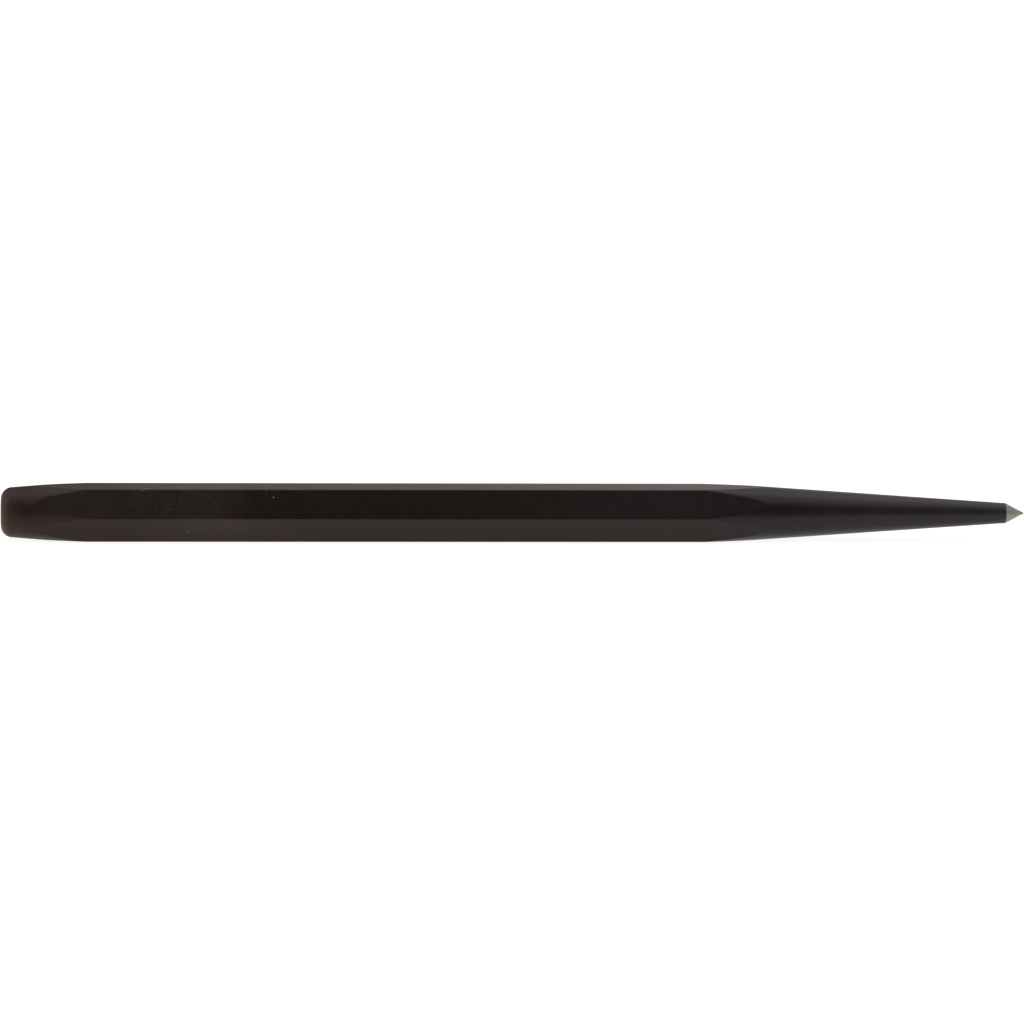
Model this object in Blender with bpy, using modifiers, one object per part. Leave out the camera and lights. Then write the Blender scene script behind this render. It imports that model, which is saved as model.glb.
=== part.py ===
"""Prick punch: a shank of hexagonal tool-steel bar, turned at both ends, with a hard point set in its nose.

The punch lies on one of its flats. +X runs along its axis from the struck face to the point, +Z is up, and
the origin is on the surface that it lies on, under the middle of its length.
"""

import math

import bpy

# Driving dimensions, in metres and radians
LENGTH = 0.1524  # struck face to the end of the point: 6 in
ACROSS_FLATS = 0.0079375  # hexagonal bar: 5/16 in
BAR_EDGE_RADIUS = 0.0002  # the drawn bar's long edges
HEAD_DIAMETER = 0.00715  # the head's cone, measured where it would reach the struck face
HEAD_LENGTH = 0.0127  # struck face to where the cone runs out at the bar's edges
HEAD_EDGE_RADIUS = 0.0017  # rounding between the struck face and the head's cone
TAPER_LENGTH = 0.0458  # where the taper leaves the bar's edges to the nose
NOSE_DIAMETER = 0.00303  # small end of the taper, flush with the base of the point
POINT_ANGLE = math.radians(53.5)  # included angle of the ground point
TIP_RADIUS = 0.0001
STEM_DIAMETER = 0.0018  # the point's stem, inside the nose
STEM_LENGTH = 0.006
STEM_CHAMFER = 0.0003
DRILL_ANGLE = math.radians(118)  # included angle at the bottom of the drilled socket
BRAZE_GAP = 0.00008  # all round the stem and under the point's shoulder

# How finely round shapes are divided
TURN_STEPS = 96
ARC_STEPS = 6
SHARP_ANGLE = math.radians(25)

# What follows from the driving dimensions; heights run along the axis from the struck face
EDGE_TO_AXIS = ACROSS_FLATS / math.sqrt(3)
SAWN_ALLOWANCE = ACROSS_FLATS  # extra bar at each end, turned away
HALF_POINT = POINT_ANGLE / 2
NOSE_HEIGHT = LENGTH + TIP_RADIUS * (1 / math.sin(HALF_POINT) - 1) - NOSE_DIAMETER / 2 / math.tan(HALF_POINT)
HEAD_SLOPE = (EDGE_TO_AXIS - HEAD_DIAMETER / 2) / HEAD_LENGTH
TAPER_SLOPE = (EDGE_TO_AXIS - NOSE_DIAMETER / 2) / TAPER_LENGTH


def clear_scene():
    for old in list(bpy.data.objects):
        bpy.data.objects.remove(old)


def new_collection(name):
    collection = bpy.data.collections.new(name)
    bpy.context.scene.collection.children.link(collection)
    return collection


def new_material(name, colour, roughness, metallic):
    material = bpy.data.materials.new(name)
    material.use_nodes = True
    shader = material.node_tree.nodes["Principled BSDF"]
    shader.inputs["Base Color"].default_value = (*colour, 1.0)
    shader.inputs["Roughness"].default_value = roughness
    shader.inputs["Metallic"].default_value = metallic
    return material


def arc(centre, radius, start, end):
    """Points (radius, height) round a centre, from one angle to another, measured from straight outwards."""
    angles = [start + (end - start) * step / ARC_STEPS for step in range(ARC_STEPS + 1)]
    return [(centre[0] + radius * math.cos(a), centre[1] + radius * math.sin(a)) for a in angles]


def turned(name, profile, collection, axis):
    """A solid of revolution on the punch's axis. The profile runs from its top pole down to its bottom pole."""
    points = [(radius, 0.0, height) for radius, height in profile]
    edges = [(i, i + 1) for i in range(len(points) - 1)]
    mesh = bpy.data.meshes.new(name)
    mesh.from_pydata(points, edges, [])
    solid = bpy.data.objects.new(name, mesh)
    collection.objects.link(solid)
    solid.parent = axis
    screw = solid.modifiers.new("Turn", "SCREW")
    screw.steps = TURN_STEPS
    screw.render_steps = TURN_STEPS
    screw.use_merge_vertices = True
    screw.merge_threshold = 0.000005
    return solid


def envelope_profile():
    """What the lathe leaves: the nose, the taper, the head's cone, its rounded edge and the struck face.

    The two cones run on until they meet, well outside the bar, so the bar's flats stay between them.
    """
    head_angle = math.atan(HEAD_SLOPE)
    nose_radius = NOSE_DIAMETER / 2
    head_radius = HEAD_DIAMETER / 2
    meet_height = (nose_radius + TAPER_SLOPE * NOSE_HEIGHT - head_radius) / (HEAD_SLOPE + TAPER_SLOPE)
    meet_radius = head_radius + HEAD_SLOPE * meet_height
    rounding_radius = head_radius - HEAD_EDGE_RADIUS * (1 / math.cos(head_angle) - math.tan(head_angle))
    rounding = arc((rounding_radius, HEAD_EDGE_RADIUS), HEAD_EDGE_RADIUS, -head_angle, -math.pi / 2)
    nose = [(0.0, NOSE_HEIGHT), (nose_radius, NOSE_HEIGHT)]
    return [*nose, (meet_radius, meet_height), *rounding, (0.0, 0.0)]


def socket_profile():
    """The drilled socket in the nose, a brazing gap larger than the stem, with a drill's conical bottom."""
    radius = STEM_DIAMETER / 2 + BRAZE_GAP
    mouth = NOSE_HEIGHT + SAWN_ALLOWANCE
    floor = NOSE_HEIGHT - STEM_LENGTH
    return [(0.0, mouth), (radius, mouth), (radius, floor), (0.0, floor - radius / math.tan(DRILL_ANGLE / 2))]


def point_profile():
    """The ground cone with its slightly blunt tip, a shoulder that seats on the nose, and a chamfered stem."""
    seat = NOSE_HEIGHT + BRAZE_GAP
    base_radius = NOSE_DIAMETER / 2 - BRAZE_GAP * math.tan(HALF_POINT)
    stem_radius = STEM_DIAMETER / 2
    stem_end = seat - STEM_LENGTH
    tip = arc((0.0, LENGTH - TIP_RADIUS), TIP_RADIUS, math.pi / 2, HALF_POINT)
    shoulder = [(base_radius, seat), (stem_radius, seat)]
    stem = [(stem_radius, stem_end + STEM_CHAMFER), (stem_radius - STEM_CHAMFER, stem_end), (0.0, stem_end)]
    return [(0.0, LENGTH), *tip[1:], *shoulder, *stem]


def hexagonal_bar(name, collection, axis):
    """A length of drawn bar on the punch's axis, with one flat facing down and softened long edges."""
    bpy.ops.mesh.primitive_cylinder_add(vertices=6, radius=EDGE_TO_AXIS, depth=LENGTH + 2 * SAWN_ALLOWANCE)
    bar = bpy.context.object
    bar.name = name
    bar.location = (0.0, 0.0, LENGTH / 2)
    for holder in bar.users_collection:
        holder.objects.unlink(bar)
    collection.objects.link(bar)
    bar.parent = axis
    edges = bar.modifiers.new("Drawn edges", "BEVEL")
    edges.width = BAR_EDGE_RADIUS * math.tan(math.pi / 6)
    edges.segments = 3
    return bar


def combine(piece, cutter, operation):
    boolean = piece.modifiers.new(f"{operation.title()} {cutter.name}", "BOOLEAN")
    boolean.operation = operation
    boolean.object = cutter
    cutter.hide_render = True
    cutter.display_type = "WIRE"


def finish(piece, material):
    """Makes the modelled shape the piece's own mesh, smooth where it is round and crisp at its edges."""
    graph = bpy.context.evaluated_depsgraph_get()
    shape = bpy.data.meshes.new_from_object(piece.evaluated_get(graph))
    piece.modifiers.clear()
    piece.data = shape
    shape.name = piece.name
    shape.shade_smooth()
    shape.set_sharp_from_angle(angle=SHARP_ANGLE)
    shape.materials.clear()
    shape.materials.append(material)


def main():
    clear_scene()
    parts = new_collection("prick_punch")
    cutters = new_collection("cutters")

    # The axis lies along +X at the height of the bar's middle, and its own Z starts at the struck face
    axis = bpy.data.objects.new("punch_axis", None)
    axis.location = (-LENGTH / 2, 0.0, ACROSS_FLATS / 2)
    axis.rotation_euler = (0.0, math.pi / 2, 0.0)
    parts.objects.link(axis)

    black_oxide = new_material("black_oxide_steel", (0.022, 0.018, 0.017), 0.38, 0.0)
    ground_metal = new_material("ground_hard_metal", (0.36, 0.34, 0.31), 0.34, 1.0)

    shank = hexagonal_bar("shank", parts, axis)
    combine(shank, turned("turning_envelope", envelope_profile(), cutters, axis), "INTERSECT")
    combine(shank, turned("point_socket", socket_profile(), cutters, axis), "DIFFERENCE")
    finish(shank, black_oxide)

    point_insert = turned("point_insert", point_profile(), parts, axis)
    finish(point_insert, ground_metal)


main()
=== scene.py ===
"""Looks of the prick punch: its drawn flats and turned cones, its black oxide finish and its ground point."""

import math

import bmesh
import bpy
from mathutils import Matrix, Vector


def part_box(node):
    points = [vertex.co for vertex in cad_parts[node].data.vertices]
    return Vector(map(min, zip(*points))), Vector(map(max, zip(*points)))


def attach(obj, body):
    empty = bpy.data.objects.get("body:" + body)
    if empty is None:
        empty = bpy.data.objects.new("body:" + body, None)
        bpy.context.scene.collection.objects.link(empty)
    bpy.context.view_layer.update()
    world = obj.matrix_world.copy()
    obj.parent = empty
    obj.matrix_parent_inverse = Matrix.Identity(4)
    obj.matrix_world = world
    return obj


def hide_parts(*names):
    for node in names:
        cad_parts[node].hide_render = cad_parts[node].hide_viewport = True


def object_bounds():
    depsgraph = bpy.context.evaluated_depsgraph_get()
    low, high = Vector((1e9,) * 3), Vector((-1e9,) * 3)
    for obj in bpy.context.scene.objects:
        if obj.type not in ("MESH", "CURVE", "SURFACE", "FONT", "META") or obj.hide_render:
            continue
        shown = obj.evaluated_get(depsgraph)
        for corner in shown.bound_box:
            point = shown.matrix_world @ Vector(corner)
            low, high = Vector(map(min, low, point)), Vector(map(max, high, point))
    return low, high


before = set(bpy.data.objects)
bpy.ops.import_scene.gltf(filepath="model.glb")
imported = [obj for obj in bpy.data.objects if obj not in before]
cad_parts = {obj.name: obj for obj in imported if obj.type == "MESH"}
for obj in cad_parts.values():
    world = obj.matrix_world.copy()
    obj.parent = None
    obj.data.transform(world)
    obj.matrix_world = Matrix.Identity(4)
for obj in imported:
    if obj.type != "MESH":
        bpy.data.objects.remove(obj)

cad_low, cad_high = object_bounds()
shank_low, shank_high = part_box("shank")

# Places along the punch, from the frame
HEAD_X = cad_low.x
TIP_X = cad_high.x
NOSE_X = shank_high.x
ACROSS_FLATS = shank_high.z - shank_low.z
AXIS = Vector((0.0, 0.0, shank_low.z + ACROSS_FLATS / 2))
EDGE_TO_AXIS = ACROSS_FLATS / math.sqrt(3)

# Sizes of the turned and drawn forms, in metres and radians
HEAD_DIAMETER = 0.00715  # the head's cone, measured where it would reach the struck face
HEAD_LENGTH = 0.0127
HEAD_EDGE_RADIUS = 0.0017
TAPER_LENGTH = 0.0458
NOSE_DIAMETER = 0.00303
NOSE_EDGE_RADIUS = 0.00008
SOCKET_DIAMETER = 0.00196
SOCKET_DEPTH = 0.006
SOCKET_FLOOR = 0.0006  # depth of the drill's cone under the socket
FLAT_EDGE_WIDTH = 0.000125  # softened rim of each flat
POINT_HALF_ANGLE = math.radians(26.75)
POINT_EDGE_RADIUS = 0.00004
TIP_RADIUS = 0.0001
STEM_DIAMETER = 0.0018
STEM_LENGTH = 0.006
STEM_CHAMFER = 0.0003
SEAT_GAP = 0.00001  # between the nose and the point's shoulder

# How finely round forms are divided
TURN_STEPS = 192
POINT_STEPS = 128
HEAD_EDGE_STEPS = 16
NOSE_EDGE_STEPS = 5
FLAT_EDGE_STEPS = 4
TIP_STEPS = 8
POINT_EDGE_STEPS = 6

# How points are merged, cut and shaded, and faces told apart
MERGE_DISTANCE = 1e-6
CUT_TOLERANCE = 1e-7
SPUN_CORNERS = 4  # most corners of a face that spinning makes; a cut fills a flat with many more
SAME_WAY = 0.99999  # cosine between a flat's direction and its face
DRAWN_TILT = 0.003  # what leans more than this towards an end is turned
SHANK_CREASE = math.radians(30)
POINT_CREASE = math.radians(35)
BROAD_FACE_WEIGHT = 100

# Marks on the metal, in marks to a metre and metres of depth
RINGS_PER_METRE = 7000.0
RING_WANDER = 90.0
DRAWN_LINES_ACROSS = 7000.0
DRAWN_LINES_ALONG = 30.0
DRAWN_DEPTH = 0.0000006
TURNED_DEPTH = 0.0000006
GRIND_DEPTH = 0.0000015
MOTTLE_DEPTH = 0.0000022
NOISE_ROUGHNESS = 0.6
SPOT_CORE = 0.5  # part of a spot's radius that has its full strength

# Black oxide: base colours by the share of the punch's length from the struck face
BAR_TONES = (
    (0.42, (0.0182, 0.0143, 0.0130)),
    (0.66, (0.0275, 0.023, 0.023)),
    (0.72, (0.0235, 0.0200, 0.0198)),
    (0.755, (0.0212, 0.0193, 0.0193)),
    (0.80, (0.0340, 0.0312, 0.0312)),
    (0.84, (0.0405, 0.0377, 0.0377)),
    (0.94, (0.0462, 0.0433, 0.0433)),
    (0.985, (0.0700, 0.0657, 0.0643)),
)
OXIDE_TONES = (
    (0.0, (0.056, 0.035, 0.021)),
    (0.012, (0.0245, 0.0110, 0.0088)),
    (0.035, (0.0245, 0.0125, 0.0100)),
    (0.06, (0.0265, 0.0180, 0.0150)),
    (0.12, (0.0285, 0.0232, 0.0193)),
    (0.205, (0.0355, 0.0292, 0.0262)),
    (0.236, (0.018, 0.0140, 0.0122)),
    *BAR_TONES,
)
# Underside: russet patches of the film, also painted lighter than their own colour. This is painted light
# that stands in for the dim light bouncing up from below.
UNDERSIDE_RUSSET_AND_PAINTED_LIGHT_TONES = (
    (0.0, (0.056, 0.032, 0.020)),
    (0.012, (0.031, 0.0105, 0.0095)),
    (0.06, (0.033, 0.0125, 0.0110)),
    (0.12, (0.038, 0.0140, 0.0130)),
    (0.17, (0.064, 0.0300, 0.0290)),
    (0.21, (0.088, 0.0570, 0.0540)),
    (0.25, (0.060, 0.0260, 0.0260)),
    (0.31, (0.036, 0.0130, 0.0120)),
    *BAR_TONES,
)
WHITE = (1.0, 1.0, 1.0, 1.0)
GREYER = (0.84, 1.10, 1.10, 1.0)
REDDER = (1.18, 0.90, 0.88, 1.0)
RUST = (0.155, 0.09, 0.054, 1.0)
DUST = (0.55, 0.54, 0.52, 1.0)

# Black oxide: stretches where its look changes, as shares of the punch's length
HEAD_END = (0.03, 0.12)
DULL_HEAD = (0.05, 0.17)
BROWNED_THIRD = (0.18, 0.32)
DUSTY_THIRD = (0.28, 0.42)
TAPER_START = (0.6, 0.69)
DRIFT = 0.06  # how far these stretches and the tones wander

# Black oxide: how strongly it varies, and how many clouds, patches and mottles there are to a metre
DRIFTS_PER_METRE = 110.0
PATCHES_PER_METRE = 330.0
CLOUDS_PER_METRE = 460.0
MOTTLES_PER_METRE = 900.0
# Below this height the tones are the underside's: russet, and painted lighter as painted light for the dim
# light from below.
UNDERSIDE_RISE = (0.44, 0.53)  # shares of the height where the underside's tones end
MOTTLING = (0.55, 0.8)  # elsewhere, and where the film is browned
PATCHINESS = 0.5
CLOUD_CONTRAST = (0.35, 0.65)
LEAST_CLOUD = 0.25
TAPER_DARKENING = 0.3
RUSTED_EDGE = (0.94, 0.985)  # shares of the way from the axis to the bar's edges
RUST_ON_EDGE = (0.22, 0.9)  # on the flats and at the edges
RUST_BY_HANDLING = (0.25, 1.0)  # elsewhere, and where the film is browned
LEAST_DUST = 0.1
HEAD_DULLING = 0.13  # of roughness
MOTTLE_DULLING = 0.12

# Ground metal
GROUND_DARK = (0.395, 0.374, 0.326, 1.0)
GROUND_LIGHT = (0.51, 0.484, 0.432, 1.0)
GROUND_ROUGHNESS = (0.72, 0.82)
GROUND_CLOUDS_PER_METRE = 1900.0
NOISE_MIDDLE = (0.3, 0.7)  # the range that most of a noise lies in
SEAT_TINT = (0.375, 0.395, 0.384, 1.0)
SEAT_TINT_LENGTH = 0.0006
SEAT_TINT_STRENGTH = 0.85
STAIN = (0.20, 0.16, 0.125, 1.0)
STAIN_STRENGTH = 0.6

# Floor and room: the floor's own light tops up what the lamps give it to white
FLOOR_SIZE = 4.0
FLOOR_TONE = 0.35
FLOOR_FILL = 0.92
MIRRORED_FILL = 0.86
ROOM_COLOUR = (1.0, 0.93, 0.87, 1.0)
WARM_COLOUR = (1.0, 0.83, 0.765, 1.0)
ROOM_RADIANCE = 0.12
WALL_SIDEWAYS = (-0.06, 0.18)  # ranges of a direction's X, Z and Y
WALL_UPWARD = (0.4, 0.8)
WALL_BEHIND = (0.0, 0.5)
WARM_LEFT = (0.0, 0.035)
SIDEWAYS_RADIANCE = (0.056, 0.445)
UPWARD_RADIANCE = (0.0, 0.27)

# Lights and camera
LIGHT_HEIGHT = 0.5
FACING_DOWN = (0.0, 0.0, 0.0)
FACING_RIGHT = (0.0, -math.pi / 2, 0.0)
CAMERA_DISTANCE = 0.7
CAMERA_AZIMUTH = math.radians(-4.8)
CAMERA_ELEVATION = math.radians(12.64)
CAMERA_ROLL = math.radians(1.108)
CAMERA_LENS = 165.726
CAMERA_CLIP = 0.01
SENSOR_WIDTH = 36.0
AIM_OFFSET = Vector((-0.000711, 0.0, 0.0001))


# Modelling

def deselect_all():
    if bpy.context.object and bpy.context.object.mode != "OBJECT":
        bpy.ops.object.mode_set(mode="OBJECT")
    bpy.ops.object.select_all(action="DESELECT")


def arc(centre, radius, start, end, steps):
    """Points (along, out) of an outline's rounding, with angles from straight out towards the point."""
    angles = [start + (end - start) * i / steps for i in range(steps + 1)]
    return [(centre[0] + radius * math.sin(a), centre[1] + radius * math.cos(a)) for a in angles]


def turned_piece(name, outline, steps):
    """Draws half an outline by extruding a vertex along it, and spins it round the punch's axis."""
    deselect_all()
    along, out = outline[0]
    bpy.ops.mesh.primitive_plane_add(size=TIP_RADIUS, location=AXIS + Vector((along, 0.0, out)))
    piece = bpy.context.object
    piece.name = name
    piece.data.name = name
    bpy.ops.object.transform_apply(location=True, rotation=True, scale=True)
    bpy.ops.object.mode_set(mode="EDIT")
    bpy.ops.mesh.select_mode(type="VERT")
    bpy.ops.mesh.select_all(action="SELECT")
    bpy.ops.mesh.merge(type="CENTER")
    for before, after in zip(outline, outline[1:]):
        move = (after[0] - before[0], 0.0, after[1] - before[1])
        bpy.ops.mesh.extrude_vertices_move(TRANSFORM_OT_translate={"value": move})
    bpy.ops.mesh.select_all(action="SELECT")
    bpy.ops.mesh.spin(steps=steps, angle=2 * math.pi, center=AXIS, axis=(1.0, 0.0, 0.0))
    bpy.ops.mesh.select_all(action="SELECT")
    bpy.ops.mesh.remove_doubles(threshold=MERGE_DISTANCE)
    bpy.ops.mesh.normals_make_consistent(inside=False)
    return piece


def finish_mesh(piece, crease):
    """Smooth shading where the surface is round, with the broad faces kept truly flat."""
    bpy.ops.object.mode_set(mode="OBJECT")
    bpy.ops.object.shade_smooth_by_angle(angle=crease)
    weighted = piece.modifiers.new("Broad faces stay flat", "WEIGHTED_NORMAL")
    weighted.keep_sharp = True
    weighted.weight = BROAD_FACE_WEIGHT
    bpy.ops.object.modifier_apply(modifier=weighted.name)


def inset_of_rounding(radius, lean):
    """How far inside a cone's end its rounding is centred, for a cone that leans so far from the axis."""
    return radius * (1 / math.cos(lean) - math.tan(lean))


def shank_outline():
    """From the socket's bottom round the nose, up the taper and down the head's cone to the struck face."""
    head_radius = HEAD_DIAMETER / 2
    nose_radius = NOSE_DIAMETER / 2
    socket_radius = SOCKET_DIAMETER / 2
    head_slope = (EDGE_TO_AXIS - head_radius) / HEAD_LENGTH
    taper_slope = (EDGE_TO_AXIS - nose_radius) / TAPER_LENGTH
    head_angle = math.atan(head_slope)
    taper_angle = math.atan(taper_slope)
    rise = nose_radius + taper_slope * NOSE_X - head_radius + head_slope * HEAD_X
    meet_x = rise / (head_slope + taper_slope)
    meet_radius = head_radius + head_slope * (meet_x - HEAD_X)
    socket_end = NOSE_X - SOCKET_DEPTH
    socket = [(socket_end - SOCKET_FLOOR, 0.0), (socket_end, socket_radius), (NOSE_X, socket_radius)]
    nose_centre = (NOSE_X - NOSE_EDGE_RADIUS, nose_radius - inset_of_rounding(NOSE_EDGE_RADIUS, taper_angle))
    nose = arc(nose_centre, NOSE_EDGE_RADIUS, math.pi / 2, taper_angle, NOSE_EDGE_STEPS)
    head_centre = (HEAD_X + HEAD_EDGE_RADIUS, head_radius - inset_of_rounding(HEAD_EDGE_RADIUS, head_angle))
    head = arc(head_centre, HEAD_EDGE_RADIUS, -head_angle, -math.pi / 2, HEAD_EDGE_STEPS)
    return [*socket, *nose, (meet_x, meet_radius), *head, (HEAD_X, 0.0)]


def make_shank():
    """A turned blank cut to six flats, so that the cones run out into the flats in curves."""
    shank = turned_piece("hexagonal_shank", shank_outline(), TURN_STEPS)
    flat_normals = [Vector((0.0, math.sin(a), math.cos(a))) for a in (k * math.pi / 3 for k in range(6))]
    for normal in flat_normals:
        bpy.ops.mesh.select_all(action="SELECT")
        cut = {"plane_co": AXIS + normal * ACROSS_FLATS / 2, "plane_no": normal, "threshold": CUT_TOLERANCE}
        bpy.ops.mesh.bisect(use_fill=True, clear_outer=True, **cut)
    bpy.ops.mesh.select_mode(type="EDGE")
    bpy.ops.mesh.select_all(action="DESELECT")
    mesh = bmesh.from_edit_mesh(shank.data)
    mesh.normal_update()
    for face in mesh.faces:
        if len(face.verts) > SPUN_CORNERS and max(face.normal.dot(n) for n in flat_normals) > SAME_WAY:
            for edge in face.edges:
                edge.select = True
    bmesh.update_edit_mesh(shank.data)
    bevel = {"offset": FLAT_EDGE_WIDTH, "segments": FLAT_EDGE_STEPS}
    bpy.ops.mesh.bevel(affect="EDGES", clamp_overlap=False, **bevel)
    finish_mesh(shank, SHANK_CREASE)
    for face in shank.data.polygons:
        face.material_index = 0 if abs(face.normal.x) < DRAWN_TILT else 1
    return shank


def point_outline():
    """From the tip down the ground cone, in under its shoulder and along the stem."""
    seat = NOSE_X + SEAT_GAP
    stem_radius = STEM_DIAMETER / 2
    stem_end = seat - STEM_LENGTH
    tip = arc((TIP_X - TIP_RADIUS, 0.0), TIP_RADIUS, math.pi / 2, POINT_HALF_ANGLE, TIP_STEPS)
    edge_out = NOSE_DIAMETER / 2 - inset_of_rounding(POINT_EDGE_RADIUS, POINT_HALF_ANGLE)
    edge_centre = (seat + POINT_EDGE_RADIUS, edge_out)
    edge = arc(edge_centre, POINT_EDGE_RADIUS, POINT_HALF_ANGLE, -math.pi / 2, POINT_EDGE_STEPS)
    chamfer = [(stem_end + STEM_CHAMFER, stem_radius), (stem_end, stem_radius - STEM_CHAMFER)]
    return [(TIP_X, 0.0), *tip[1:], *edge, (seat, stem_radius), *chamfer, (stem_end, 0.0)]


def make_point():
    point = turned_piece("ground_point", point_outline(), POINT_STEPS)
    finish_mesh(point, POINT_CREASE)
    return point


# Nodes

def new_node(tree, kind, inputs=None, **options):
    """Adds a node, sets its options, and gives each input a value or a link from another node's output."""
    node = tree.nodes.new(kind)
    for option, value in options.items():
        setattr(node, option, value)
    for key, value in (inputs or {}).items():
        fill_socket(tree, node.inputs[key], value)
    return node


def fill_socket(tree, socket, value):
    if isinstance(value, bpy.types.NodeSocket):
        tree.links.new(value, socket)
    else:
        socket.default_value = value


def calculate(tree, operation, *values):
    return new_node(tree, "ShaderNodeMath", dict(enumerate(values)), operation=operation).outputs[0]


def about_zero(tree, value):
    """A noise of 0 to 1, moved so that it lies as often below zero as above."""
    return calculate(tree, "SUBTRACT", value, 0.5)


def spread(tree, value, low, high, to_low=0.0, to_high=1.0, shape="SMOOTHSTEP"):
    """Takes a value from one range to another and stops at its ends."""
    limits = {"Value": value, "From Min": low, "From Max": high, "To Min": to_low, "To Max": to_high}
    return new_node(tree, "ShaderNodeMapRange", limits, interpolation_type=shape).outputs["Result"]


def blend(tree, share, first, second):
    """Mixes a share of the second colour into the first."""
    return new_node(tree, "ShaderNodeMix", {0: share, 6: first, 7: second}, data_type="RGBA").outputs[2]


def noise(tree, place, scale, detail):
    inputs = {"Vector": place, "Scale": scale, "Detail": detail, "Roughness": NOISE_ROUGHNESS}
    return new_node(tree, "ShaderNodeTexNoise", inputs).outputs["Fac"]


def stretch(tree, place, amounts):
    """Multiplies a place, or a colour, part by part."""
    factors = {0: place, 1: amounts}
    return new_node(tree, "ShaderNodeVectorMath", factors, operation="MULTIPLY").outputs["Vector"]


def relief(tree, height):
    """The normal of a surface that is raised by so many metres."""
    inputs = {"Strength": 1.0, "Distance": 1.0, "Height": height}
    return new_node(tree, "ShaderNodeBump", inputs).outputs["Normal"]


def from_axis(tree, place):
    """A place measured from the punch's axis, and how far out it lies."""
    centred = new_node(tree, "ShaderNodeMapping", {"Vector": place, "Location": -AXIS}).outputs["Vector"]
    across = stretch(tree, centred, (0.0, 1.0, 1.0))
    return centred, new_node(tree, "ShaderNodeVectorMath", {0: across}, operation="LENGTH").outputs["Value"]


def new_group(name, inputs, outputs):
    group = bpy.data.node_groups.new(name, "ShaderNodeTree")
    for label, kind in inputs:
        group.interface.new_socket(label, in_out="INPUT", socket_type=kind)
    for label, kind in outputs:
        group.interface.new_socket(label, in_out="OUTPUT", socket_type=kind)
    return group, group.nodes.new("NodeGroupInput").outputs, group.nodes.new("NodeGroupOutput").inputs


def use_group(tree, group, **inputs):
    return new_node(tree, "ShaderNodeGroup", inputs, node_tree=group).outputs


# Effects shared by the finishes

def make_specks():
    """Round spots at random: Cells to a metre, a Share of them with a spot whose radius is Size of one."""
    numbers = [(label, "NodeSocketFloat") for label in ("Cells", "Size", "Share")]
    inputs = [("Vector", "NodeSocketVector"), *numbers]
    group, given, put = new_group("specks", inputs, [("Mask", "NodeSocketFloat")])
    cells = new_node(group, "ShaderNodeTexVoronoi", {"Vector": given["Vector"], "Scale": given["Cells"]})
    core = calculate(group, "MULTIPLY", given["Size"], SPOT_CORE)
    spot = spread(group, cells.outputs["Distance"], core, given["Size"], 1.0, 0.0)
    chance = new_node(group, "ShaderNodeSeparateColor", {"Color": cells.outputs["Color"]}).outputs["Red"]
    chosen = calculate(group, "LESS_THAN", chance, given["Share"])
    group.links.new(calculate(group, "MULTIPLY", spot, chosen), put["Mask"])
    return group


def make_turning_rings():
    """Fine rings left by turning and grinding: round the axis on a cone, about its middle on an end face."""
    outputs = [("Height", "NodeSocketFloat")]
    group, given, put = new_group("turning_rings", [("Vector", "NodeSocketVector")], outputs)
    centred, out = from_axis(group, given["Vector"])
    parts = new_node(group, "ShaderNodeSeparateXYZ", {"Vector": centred}).outputs
    outline = calculate(group, "ADD", parts["X"], out)
    rings = new_node(group, "ShaderNodeCombineXYZ", {"X": outline, "Y": parts["Y"], "Z": parts["Z"]})
    close = stretch(group, rings.outputs["Vector"], (RINGS_PER_METRE, RING_WANDER, RING_WANDER))
    group.links.new(noise(group, close, 1.0, 2.0), put["Height"])
    return group


def tone_along(tree, share, tones):
    ramp = new_node(tree, "ShaderNodeValToRGB", {"Fac": share})
    stops = ramp.color_ramp.elements
    while len(stops) < len(tones):
        stops.new(0.5)
    for stop, (position, colour) in zip(stops, tones):
        stop.position = position
        stop.color = (*colour, 1.0)
    return ramp.outputs["Color"]


def film_shade(group, place, mottle, share, browned, turned):
    """How light or dark the film is: mottled, patchy where it is browned, and darker on the taper."""
    mottling = spread(group, browned, 0.0, 1.0, *MOTTLING, "LINEAR")
    shade = calculate(group, "MULTIPLY_ADD", about_zero(group, mottle), mottling, 1.0)
    patches = about_zero(group, noise(group, place, PATCHES_PER_METRE, 3.0))
    patchiness = calculate(group, "MULTIPLY", browned, PATCHINESS)
    shade = calculate(group, "MULTIPLY_ADD", patches, patchiness, shade)
    taper = spread(group, share, *TAPER_START, 0.0, TAPER_DARKENING)
    return calculate(group, "SUBTRACT", shade, calculate(group, "MULTIPLY", turned, taper))


def cloud_tint(group, place, share, underside, browned):
    """Redder and greyer clouds, plainest on the browned underside and least at the head's end."""
    clouds = spread(group, noise(group, place, CLOUDS_PER_METRE, 2.0), *CLOUD_CONTRAST)
    plain = calculate(group, "MULTIPLY", underside, browned)
    plain = calculate(group, "MULTIPLY", spread(group, share, *HEAD_END), plain)
    strength = calculate(group, "MULTIPLY_ADD", plain, 1.0 - LEAST_CLOUD, LEAST_CLOUD)
    return blend(group, strength, WHITE, blend(group, clouds, GREYER, REDDER))


def rusting(group, place, browned):
    """Where rust shows through: at the bar's edges, and most where the punch is handled and struck."""
    out = from_axis(group, place)[1]
    first, last = (share * EDGE_TO_AXIS for share in RUSTED_EDGE)
    edges = spread(group, out, first, last, *RUST_ON_EDGE)
    handled = spread(group, browned, 0.0, 1.0, *RUST_BY_HANDLING, "LINEAR")
    return calculate(group, "MULTIPLY", edges, handled)


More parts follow.
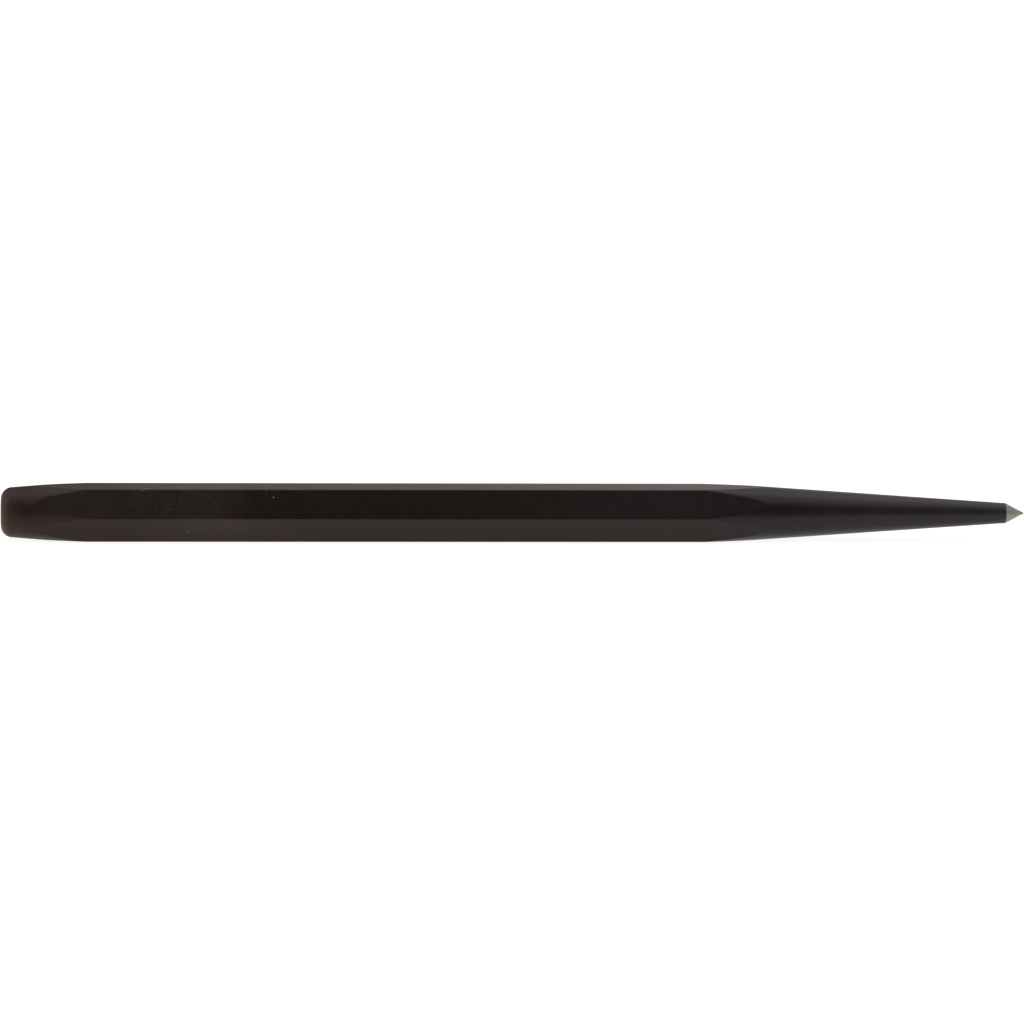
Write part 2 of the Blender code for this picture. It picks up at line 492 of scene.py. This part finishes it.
def make_oxide_tone():
    """Black oxide along the punch: brown and dull at the head, darker and more even towards the point. On the
    underside near the head it is russet, and also painted lighter as painted light for the dim light from
    below.
    """
    inputs = [("Vector", "NodeSocketVector"), ("Turned", "NodeSocketFloat")]
    masks = [(label, "NodeSocketFloat") for label in ("Dullness", "Mottle", "Rusting", "Dusting")]
    group, given, put = new_group("oxide_tone", inputs, [("Colour", "NodeSocketColor"), *masks])
    place = given["Vector"]
    parts = new_node(group, "ShaderNodeSeparateXYZ", {"Vector": place}).outputs
    share = spread(group, parts["X"], HEAD_X, TIP_X, shape="LINEAR")
    drift = about_zero(group, noise(group, place, DRIFTS_PER_METRE, 2.0))
    share = calculate(group, "MULTIPLY_ADD", drift, DRIFT, share)
    low, high = (rise * ACROSS_FLATS for rise in UNDERSIDE_RISE)
    underside = spread(group, parts["Z"], low, high, 1.0, 0.0)
    browned = spread(group, share, *BROWNED_THIRD, 1.0, 0.0)
    mottle = noise(group, place, MOTTLES_PER_METRE, 3.0)
    upper_tone = tone_along(group, share, OXIDE_TONES)
    # Painted light: the lower side takes its own tones, which are russet and painted lighter for the dim
    # light from below.
    tone = blend(group, underside, upper_tone, tone_along(group, share, UNDERSIDE_RUSSET_AND_PAINTED_LIGHT_TONES))
    shade = film_shade(group, place, mottle, share, browned, given["Turned"])
    shaded = new_node(group, "ShaderNodeVectorMath", {0: tone, "Scale": shade}, operation="SCALE")
    tint = cloud_tint(group, place, share, underside, browned)
    group.links.new(stretch(group, shaded.outputs["Vector"], tint), put["Colour"])
    group.links.new(spread(group, share, *DULL_HEAD, 1.0, 0.0), put["Dullness"])
    group.links.new(mottle, put["Mottle"])
    group.links.new(rusting(group, place, browned), put["Rusting"])
    group.links.new(spread(group, share, *DUSTY_THIRD, 1.0, LEAST_DUST), put["Dusting"])
    return group


# Finishes

def new_material(name):
    material = bpy.data.materials.new(name)
    material.use_nodes = True
    tree = material.node_tree
    return material, tree, tree.nodes["Principled BSDF"]


def fill_in(tree, shader, **inputs):
    for label, value in inputs.items():
        fill_socket(tree, shader.inputs[label.replace("_", " ")], value)


def object_place(tree):
    return new_node(tree, "ShaderNodeTexCoord").outputs["Object"]


def drawn_lines(tree, place):
    """Faint lines that the drawing die leaves along the flats."""
    close = stretch(tree, place, (DRAWN_LINES_ALONG, DRAWN_LINES_ACROSS, DRAWN_LINES_ACROSS))
    return noise(tree, close, 1.0, 2.0)


def turned_lines(tree, place):
    return use_group(tree, turning_rings, Vector=place)["Height"]


def black_oxide(name, turned, lines, line_depth, roughness, shine, tint):
    """Thin dark film on steel, satin, with a breath of rust where hands and hammer reach it."""
    material, tree, shader = new_material(name)
    place = object_place(tree)
    tone = use_group(tree, oxide_tone, Vector=place, Turned=turned)
    rust = use_group(tree, specks, Vector=place, Cells=1100.0, Size=0.24, Share=0.34)["Mask"]
    dust = use_group(tree, specks, Vector=place, Cells=800.0, Size=0.11, Share=0.06)["Mask"]
    colour = blend(tree, calculate(tree, "MULTIPLY", rust, tone["Rusting"]), tone["Colour"], RUST)
    colour = blend(tree, calculate(tree, "MULTIPLY", dust, tone["Dusting"]), colour, DUST)
    rough = calculate(tree, "MULTIPLY_ADD", tone["Dullness"], HEAD_DULLING, roughness)
    rough = calculate(tree, "MULTIPLY_ADD", about_zero(tree, tone["Mottle"]), MOTTLE_DULLING, rough)
    height = calculate(tree, "MULTIPLY", lines(tree, place), line_depth)
    height = calculate(tree, "MULTIPLY_ADD", tone["Mottle"], MOTTLE_DEPTH, height)
    fill_in(tree, shader, Base_Color=colour, Roughness=rough, Normal=relief(tree, height))
    fill_in(tree, shader, Specular_IOR_Level=shine, Specular_Tint=tint)
    return material


def ground_metal():
    """Bare warm grey metal with fine rings from grinding, cooler at its seat, with a few small stains."""
    material, tree, shader = new_material("ground_metal_finish")
    place = object_place(tree)
    rings = turned_lines(tree, place)
    along = new_node(tree, "ShaderNodeSeparateXYZ", {"Vector": place}).outputs["X"]
    seat = spread(tree, along, NOSE_X, NOSE_X + SEAT_TINT_LENGTH, SEAT_TINT_STRENGTH, 0.0)
    clouds = spread(tree, noise(tree, place, GROUND_CLOUDS_PER_METRE, 3.0), *NOISE_MIDDLE)
    metal = blend(tree, clouds, GROUND_DARK, GROUND_LIGHT)
    metal = blend(tree, seat, metal, SEAT_TINT)
    stains = use_group(tree, specks, Vector=place, Cells=1500.0, Size=0.34, Share=0.2)["Mask"]
    colour = blend(tree, calculate(tree, "MULTIPLY", stains, STAIN_STRENGTH), metal, STAIN)
    rough = spread(tree, rings, *NOISE_MIDDLE, *GROUND_ROUGHNESS, "LINEAR")
    normal = relief(tree, calculate(tree, "MULTIPLY", rings, GRIND_DEPTH))
    fill_in(tree, shader, Base_Color=colour, Roughness=rough, Metallic=1.0, Normal=normal)
    return material


def studio_white():
    """Floor that is seen and mirrored as white where nothing shades it."""
    material, tree, shader = new_material("studio_white")
    path = new_node(tree, "ShaderNodeLightPath").outputs
    seen = calculate(tree, "MULTIPLY", path["Is Camera Ray"], FLOOR_FILL)
    mirrored = calculate(tree, "MAXIMUM", path["Is Glossy Ray"], path["Is Transmission Ray"])
    mirrored = calculate(tree, "MULTIPLY", mirrored, MIRRORED_FILL)
    glow = calculate(tree, "MAXIMUM", seen, mirrored)
    fill_in(tree, shader, Base_Color=(FLOOR_TONE, FLOOR_TONE, FLOOR_TONE, 1.0), Roughness=1.0)
    fill_in(tree, shader, Specular_IOR_Level=0.0)
    fill_in(tree, shader, Emission_Color=WHITE, Emission_Strength=glow)
    return material


# Stage, lights and camera

def make_floor():
    deselect_all()
    bpy.ops.mesh.primitive_plane_add(size=FLOOR_SIZE, location=(0.0, 0.0, shank_low.z))
    floor = bpy.context.object
    floor.name = "studio_floor"
    bpy.ops.object.transform_apply(location=True, rotation=True, scale=True)
    floor.data.materials.append(studio_white())


def make_room():
    """Dim in front, brighter behind, more so to the right and higher up, and warmer to the left."""
    world = bpy.data.worlds.new("dim_room")
    bpy.context.scene.world = world
    world.use_nodes = True
    tree = world.node_tree
    toward = new_node(tree, "ShaderNodeTexCoord").outputs["Generated"]
    parts = new_node(tree, "ShaderNodeSeparateXYZ", {"Vector": toward}).outputs
    sideways = spread(tree, parts["X"], *WALL_SIDEWAYS, *SIDEWAYS_RADIANCE, "LINEAR")
    upward = spread(tree, parts["Z"], *WALL_UPWARD, *UPWARD_RADIANCE)
    behind = spread(tree, parts["Y"], *WALL_BEHIND)
    wall = calculate(tree, "MULTIPLY", calculate(tree, "ADD", sideways, upward), behind)
    leftward = spread(tree, parts["X"], *WARM_LEFT, 1.0, 0.0)
    background = tree.nodes["Background"]
    tree.links.new(blend(tree, leftward, ROOM_COLOUR, WARM_COLOUR), background.inputs["Color"])
    tree.links.new(calculate(tree, "ADD", wall, ROOM_RADIANCE), background.inputs["Strength"])


def make_panel(name, turn, location, radiance, width, depth):
    panel = bpy.data.lights.new(name, "AREA")
    panel.shape = "RECTANGLE"
    panel.size = width
    panel.size_y = depth
    panel.energy = radiance * math.pi * width * depth
    holder = bpy.data.objects.new(name, panel)
    holder.location = location
    holder.rotation_euler = turn
    holder.visible_camera = False
    bpy.context.scene.collection.objects.link(holder)


def make_lights():
    make_panel("softbox", FACING_DOWN, (0.0, 0.145, LIGHT_HEIGHT), radiance=1.16, width=1.6, depth=0.21)
    make_panel("front_panel", FACING_DOWN, (0.0, -0.13, LIGHT_HEIGHT), radiance=0.86, width=1.6, depth=0.34)
    make_panel("left_panel", FACING_RIGHT, (-0.5, -0.15, 0.16), radiance=1.0, width=0.3, depth=0.4)
    make_panel("left_back_panel", FACING_RIGHT, (-0.5, 0.35, 0.23), radiance=0.6, width=0.4, depth=0.6)


def make_camera():
    camera = bpy.data.cameras.new("camera")
    camera.lens = CAMERA_LENS
    camera.sensor_width = SENSOR_WIDTH
    camera.clip_start = CAMERA_CLIP
    holder = bpy.data.objects.new("camera", camera)
    turn = Matrix.Rotation(CAMERA_AZIMUTH, 4, "Z") @ Matrix.Rotation(math.pi / 2 - CAMERA_ELEVATION, 4, "X")
    turn = turn @ Matrix.Rotation(CAMERA_ROLL, 4, "Z")
    aim = AXIS + AIM_OFFSET
    holder.matrix_world = Matrix.Translation(aim + turn @ Vector((0.0, 0.0, CAMERA_DISTANCE))) @ turn
    bpy.context.scene.collection.objects.link(holder)
    bpy.context.scene.camera = holder


# Putting it together

def dress(piece, materials, node):
    for material in materials:
        piece.data.materials.append(material)
    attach(piece, "root")
    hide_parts(node)


specks = make_specks()
turning_rings = make_turning_rings()
oxide_tone = make_oxide_tone()
flats_finish = black_oxide(
    "drawn_flats_finish",
    turned=0.0,
    lines=drawn_lines,
    line_depth=DRAWN_DEPTH,
    roughness=0.24,
    shine=0.315,
    tint=(1.0, 0.83, 0.75, 1.0),
)
cones_finish = black_oxide(
    "turned_cones_finish",
    turned=1.0,
    lines=turned_lines,
    line_depth=TURNED_DEPTH,
    roughness=0.36,
    shine=0.33,
    tint=(1.0, 0.88, 0.86, 1.0),
)
dress(make_shank(), [flats_finish, cones_finish], "shank")
dress(make_point(), [ground_metal()], "point_insert")
make_floor()
make_room()
make_lights()
make_camera()
bpy.context.scene.view_settings.view_transform = "Standard"
